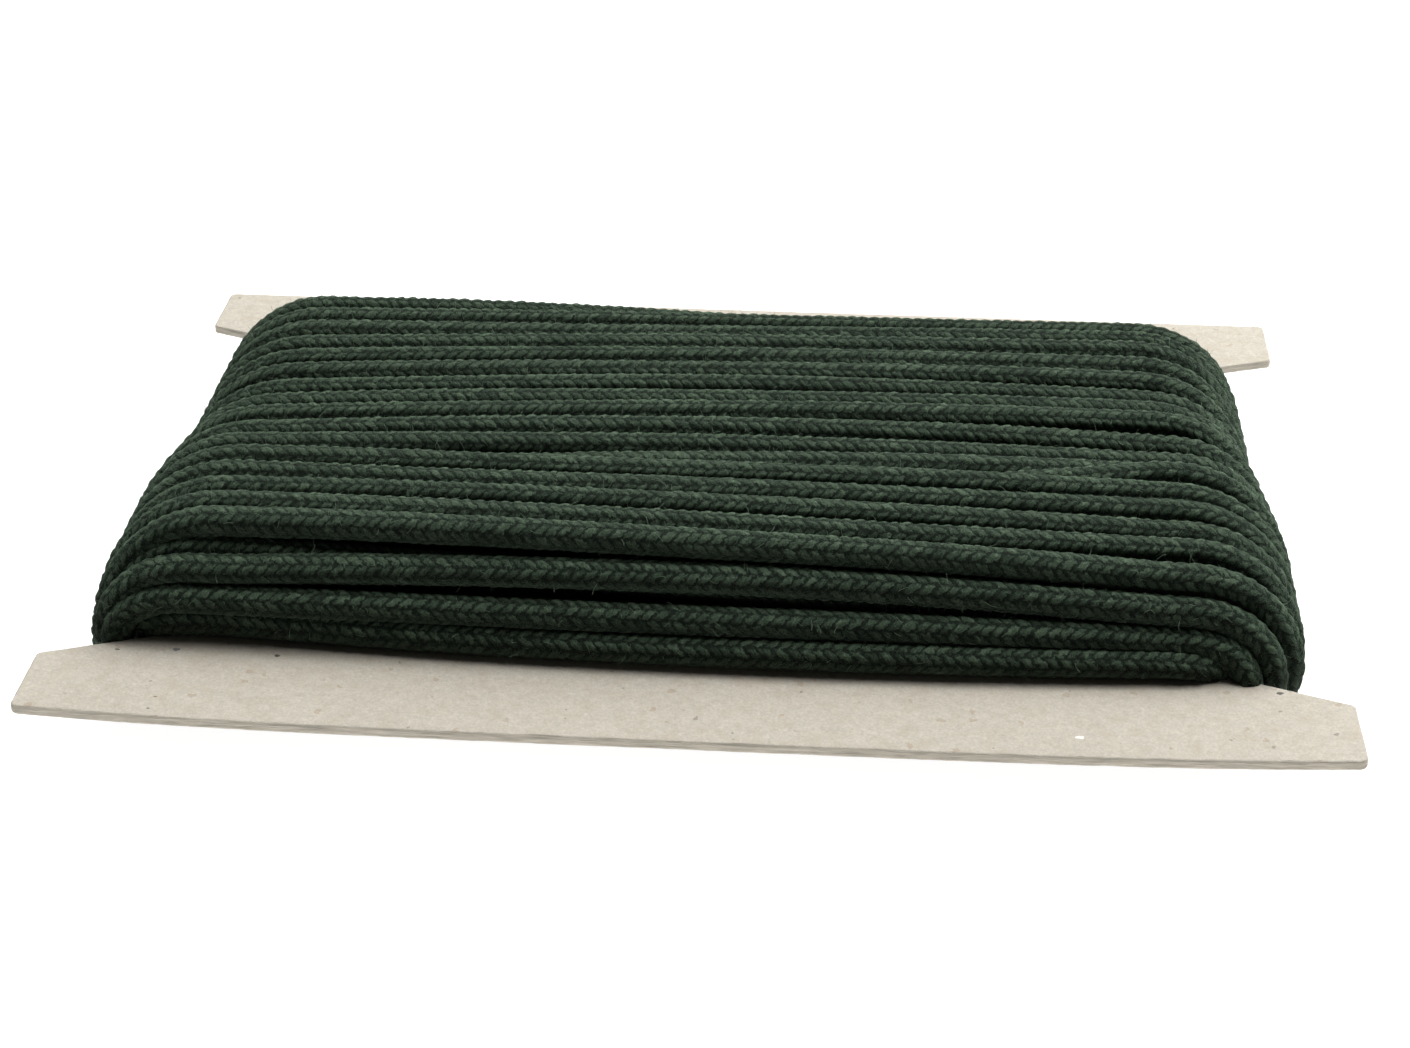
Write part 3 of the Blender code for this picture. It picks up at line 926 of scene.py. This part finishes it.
class CORD_OT_outer_turns(bpy.types.Operator):
    """Makes the outer layer of turns as one braided cord"""
    bl_idname = "cord_card.outer_turns"
    bl_label = "Outer turns"

    def execute(self, context):
        cord = context.scene.cord_settings
        points, underneath = Winding().line()
        step = cord.lobe_pitch / STEPS_PER_LOBE
        points = even_steps(points, step, UNDER_STEP, underneath)
        points = wobble(smoothed(points, 12), WAVER)
        points[:, 2] += CARD_MIDDLE
        total = float(np.linalg.norm(np.diff(points, axis=0), axis=1).sum())
        pieces = math.ceil(2 * PROFILE_POINTS * len(points) / MOST_TRIANGLES)
        guide = cord_line("cord_line", points)
        tree = tree_named("braided_cord", braid_tree)
        material = cord_material("braided_cord", cord, 0.12 * MM)
        cuts = np.linspace(0, total, pieces + 1)
        for k in range(pieces):
            values = cord_values(cord, material)
            values["From"] = -1.0 if k == 0 else float(cuts[k])
            values["To"] = 1000.0 if k + 1 == pieces else float(cuts[k + 1])
            piece = grown(guide, tree, f"cord_turns_{k + 1}", values)
            finish_piece(piece, "winding")
        bpy.data.objects.remove(guide)
        return {"FINISHED"}


class CORD_OT_inner_turns(bpy.types.Operator):
    """Makes the layer of turns that shows through the gaps"""
    bl_idname = "cord_card.inner_turns"
    bl_label = "Inner turns"

    def execute(self, context):
        cord = context.scene.cord_settings
        points = even_steps(Winding().line()[0], INNER_STEP)
        points = smoothed(points, 4)
        middle = (points[:-1] + points[1:]) / 2
        inner = middle.copy()
        height = np.abs(inner[:, 2])
        inner[:, 2] -= np.sign(inner[:, 2]) * np.minimum(INNER_SINK, height * 0.6)
        inner[:, 0] -= np.sign(inner[:, 0]) * INNER_SINK * np.clip(np.abs(inner[:, 0]) / (90 * MM), 0, 1) ** 4
        inner[:, 1] = inner[:, 1] * INNER_NARROWING + INNER_SHIFT
        inner[:, 2] += CARD_MIDDLE
        guide = cord_line("inner_line", inner)
        tree = tree_named("braided_cord", braid_tree)
        material = cord_material("inner_cord", cord, 0.3 * MM)
        values = cord_values(cord, material)
        values["Profile Points"] = INNER_PROFILE
        values["Lobe Height"] = 0.0
        values["Radius"] = INNER_RADIUS
        piece = grown(guide, tree, "cord_inner_turns", values)
        finish_piece(piece, "winding")
        bpy.data.objects.remove(guide)
        return {"FINISHED"}


class CORD_OT_loose_hairs(bpy.types.Operator):
    """Scatters the fine hairs that stand off the cord"""
    bl_idname = "cord_card.loose_hairs"
    bl_label = "Loose hairs"

    def execute(self, context):
        cord = context.scene.cord_settings
        tree = tree_named("loose_hairs", hair_tree)
        values = {
            "Density": cord.hairs, "Length": 1.3 * MM, "Thickness": 0.024 * MM, "Lean": 1.1, "Seed": 5,
            "Core": HAIR_CORE, "Centre": (0.0, 0.0, CARD_MIDDLE),
            # The hairs are given the painted highlight colour
            "Material": plain_yarn_material("cord_hairs", tuple(cord.lit)),
        }
        skin = bpy.data.meshes.new("hair_roots")
        shell = bmesh.new()
        for piece in context.scene.objects:
            if piece.name.startswith("cord_turns_"):
                shell.from_mesh(piece.data)
        shell.to_mesh(skin)
        shell.free()
        roots = linked("hair_roots", skin)
        piece = grown(roots, tree, "cord_hairs", values)
        bpy.data.objects.remove(roots)
        finish_piece(piece, "winding")
        return {"FINISHED"}


def notch_side(x):
    """How far a notch's side lies from the card's middle line at x."""
    return CARD_DEPTH / 2 - FLANGE_TIP - NOTCH_LEAN * (CARD_LENGTH / 2 - x)


def rounded(corner, before, after, radius, steps=6):
    """The points of the arc that rounds a convex corner."""
    to_before = (before - corner) / np.linalg.norm(before - corner)
    to_after = (after - corner) / np.linalg.norm(after - corner)
    half = math.acos(float(np.dot(to_before, to_after))) / 2
    inward = (to_before + to_after) / np.linalg.norm(to_before + to_after)
    centre = corner + inward * radius / math.sin(half)
    sweep = math.pi - 2 * half
    for step in range(steps + 1):
        angle = sweep * (step / steps - 0.5)
        turned = np.array((
            -inward[0] * math.cos(angle) + inward[1] * math.sin(angle),
            -inward[0] * math.sin(angle) - inward[1] * math.cos(angle),
        ))
        yield centre + turned * radius


def card_outline(radius):
    """The H of the card, counter-clockwise, with its outer corners rounded and a point each 0.8 mm."""
    end, edge, waist = CARD_LENGTH / 2, CARD_DEPTH / 2, WAIST_LENGTH / 2
    tip, throat = notch_side(end), notch_side(waist)
    right = [(end, -edge), (end, -tip), (waist, -throat), (waist, throat), (end, tip), (end, edge)]
    corners = [np.array(point) for point in right + [(-x, y) for x, y in reversed(right)]]
    coarse = []
    for k, corner in enumerate(corners):
        if abs(corner[0]) < end:
            coarse.append(corner)
        else:
            coarse.extend(rounded(corner, corners[k - 1], corners[(k + 1) % len(corners)], radius))
    fine = []
    for here, there in zip(coarse, coarse[1:] + coarse[:1]):
        count = max(1, round(float(np.linalg.norm(there - here)) / (0.8 * MM)))
        fine.extend(here + (there - here) * step / count for step in range(count))
    return np.array(fine)


def wear_along(outline, rows, seed):
    """Uneven wear for each row of the cut edge, smooth along the edge and different between rows."""
    chance = np.random.default_rng(seed)
    slow = chance.normal(size=len(outline))
    for _ in range(3):
        slow = (np.roll(slow, 1) + slow * 2 + np.roll(slow, -1)) / 4
    layers = chance.normal(size=(rows, len(outline)))
    for _ in range(2):
        layers = (np.roll(layers, 1, axis=1) + layers * 2 + np.roll(layers, -1, axis=1)) / 4
    return np.abs(layers * 0.6 + slow * 0.6)


def sagged(x, y, sag):
    """How far the card hangs down at a place in front of the winding."""
    forward = min(max((-y - 56 * MM) / (19 * MM), 0.0), 1.0)
    return sag * forward * max(0.0, 1 - (2 * x / CARD_LENGTH) ** 4)


# The cut edge's rings: height, in half thicknesses, and how far in from the outline, in mm
EDGE_LEVELS = (
    (-1.0, 0.30), (-0.97, 0.10), (-0.82, 0.02), (-0.5, 0.0), (-0.15, 0.03),
    (0.2, 0.0), (0.5, 0.02), (0.82, 0.03), (0.97, 0.12), (1.0, 0.32),
)


class CORD_OT_card(bpy.types.Operator):
    """Makes the H-shaped card with its worn cut edge"""
    bl_idname = "cord_card.card"
    bl_label = "Card"

    def execute(self, context):
        card = context.scene.card_settings
        outline = card_outline(card.corner)
        ahead = np.roll(outline, -1, axis=0) - np.roll(outline, 1, axis=0)
        ahead /= np.linalg.norm(ahead, axis=1, keepdims=True)
        outward = np.column_stack([ahead[:, 1], -ahead[:, 0]])
        half = CARD_THICK / 2
        wear = wear_along(outline, len(EDGE_LEVELS), 11) * card.wear
        shell = bmesh.new()
        rows = []
        for (level, inset), wear_mottle_and_shade in zip(EDGE_LEVELS, wear):
            ring = outline - outward * (inset * MM + wear_mottle_and_shade[:, None])
            rows.append([shell.verts.new((x, y, CARD_MIDDLE + half * level)) for x, y in ring])
        count = len(outline)
        for lower, upper in zip(rows, rows[1:]):
            for k in range(count):
                face = shell.faces.new((lower[k], lower[(k + 1) % count], upper[(k + 1) % count], upper[k]))
                face.smooth = True
        for ring, upward in ((rows[0], False), (rows[-1], True)):
            for corners in tessellate_polygon([[vertex.co for vertex in ring]]):
                face = shell.faces.new([ring[k] for k in corners])
                face.normal_update()
                if (face.normal.z > 0) != upward:
                    face.normal_flip()
        cuts = [((x * MM, 0, 0), (1, 0, 0)) for x in range(-95, 96, 10)] + [
            ((0, y * MM, 0), (0, 1, 0)) for y in range(-74, -54, 3)
        ]
        for place, direction in cuts:
            bmesh.ops.bisect_plane(
                shell, geom=shell.verts[:] + shell.edges[:] + shell.faces[:], plane_co=place,
                plane_no=direction
            )
        for vertex in shell.verts:
            vertex.co.z -= sagged(vertex.co.x, vertex.co.y, card.sag)
        bmesh.ops.recalc_face_normals(shell, faces=shell.faces)
        mesh = bpy.data.meshes.new("greyboard_card")
        shell.to_mesh(mesh)
        shell.free()
        mesh.materials.append(board_material(card))
        piece = linked("greyboard_card", mesh)
        finish_piece(piece, "card")
        return {"FINISHED"}


def aimed_lamp(name, place, size, power):
    """A lamp that is turned to the middle of the floor."""
    lamp = bpy.data.lights.new(name, "AREA")
    lamp.shape = "RECTANGLE"
    lamp.size, lamp.size_y = size
    lamp.energy = power
    made = linked(name, lamp)
    made.location = place
    made.rotation_euler = (-Vector(place)).to_track_quat("-Z", "Y").to_euler()


class CORD_OT_stage(bpy.types.Operator):
    """Makes the floor, the lights and the camera"""
    bl_idname = "cord_card.stage"
    bl_label = "Stage"

    def execute(self, context):
        stage = context.scene.stage_settings
        self.floor(context, stage)
        aimed_lamp("key_lamp", KEY_PLACE, KEY_SIZE, stage.key)
        aimed_lamp("rim_lamp", RIM_PLACE, RIM_SIZE, stage.rim)
        world = bpy.data.worlds.new("studio")
        world.use_nodes = True
        background = world.node_tree.nodes["Background"]
        seen = add(world.node_tree, "ShaderNodeLightPath").outputs["Is Camera Ray"]
        strength = calc(world.node_tree, "MULTIPLY_ADD", seen, 1.0 - stage.sky, stage.sky)
        feed(world.node_tree, background, {"Color": (1.0, 1.0, 1.0, 1.0), "Strength": strength})
        context.scene.world = world
        context.scene.view_settings.view_transform = "Standard"
        self.camera(context)
        return {"FINISHED"}

    def floor(self, context, stage):
        mesh = bpy.data.meshes.new("floor")
        corners = [(x * FLOOR_REACH, y * FLOOR_REACH, 0) for x, y in ((-1, -1), (1, -1), (1, 1), (-1, 1))]
        mesh.from_pydata(corners, [], [(0, 1, 2, 3)])
        made, tree, shader = new_material("pale_floor")
        feed(tree, shader, {
            "Base Color": tuple(stage.floor), "Roughness": 0.9, "Specular IOR Level": 0.1,
            "Emission Color": (1.0, 1.0, 1.0, 1.0), "Emission Strength": stage.glow,
        })
        mesh.materials.append(made)
        floor = linked("floor", mesh)

    def camera(self, context):
        down, roll = CAMERA_DOWN, CAMERA_ROLL
        across = Vector((1, 0, 0))
        upward = Vector((0, math.sin(down), math.cos(down)))
        ahead = Vector((0, math.cos(down), -math.sin(down)))
        side = across * math.cos(roll) + upward * math.sin(roll)
        head = upward * math.cos(roll) - across * math.sin(roll)
        turned = Matrix.Rotation(CAMERA_YAW, 4, "Z") @ Matrix((side, head, -ahead)).transposed().to_4x4()
        data = bpy.data.cameras.new("camera")
        data.sensor_fit = "HORIZONTAL"
        data.sensor_width = CAMERA_SENSOR
        data.lens = CAMERA_LENS
        data.clip_start, data.clip_end = 0.01, 50
        camera = linked("camera", data)
        camera.matrix_world = Matrix.Translation(CAMERA_PLACE) @ turned
        context.scene.camera = camera


class CORD_PT_panel(bpy.types.Panel):
    bl_label = "Piping cord on a card"
    bl_idname = "CORD_PT_panel"
    bl_space_type = "VIEW_3D"
    bl_region_type = "UI"
    bl_category = "Cord"

    def draw(self, context):
        for operator in OPERATORS:
            self.layout.operator(operator.bl_idname)
        for settings in (
            context.scene.cord_settings, context.scene.card_settings, context.scene.stage_settings
        ):
            box = self.layout.box()
            for name in settings.__annotations__:
                box.prop(settings, name)


SETTINGS = {"cord_settings": CordSettings, "card_settings": CardSettings, "stage_settings": StageSettings}
OPERATORS = (CORD_OT_outer_turns, CORD_OT_inner_turns, CORD_OT_loose_hairs, CORD_OT_card, CORD_OT_stage)


def register():
    for name, settings in SETTINGS.items():
        bpy.utils.register_class(settings)
        setattr(bpy.types.Scene, name, PointerProperty(type=settings))
    for operator in OPERATORS:
        bpy.utils.register_class(operator)
    bpy.utils.register_class(CORD_PT_panel)


def unregister():
    bpy.utils.unregister_class(CORD_PT_panel)
    for operator in reversed(OPERATORS):
        bpy.utils.unregister_class(operator)
    for name, settings in SETTINGS.items():
        delattr(bpy.types.Scene, name)
        bpy.utils.unregister_class(settings)


def main():
    register()
    bpy.ops.cord_card.outer_turns()
    bpy.ops.cord_card.inner_turns()
    bpy.ops.cord_card.loose_hairs()
    bpy.ops.cord_card.card()
    bpy.ops.cord_card.stage()


if __name__ == "__main__":
    main()
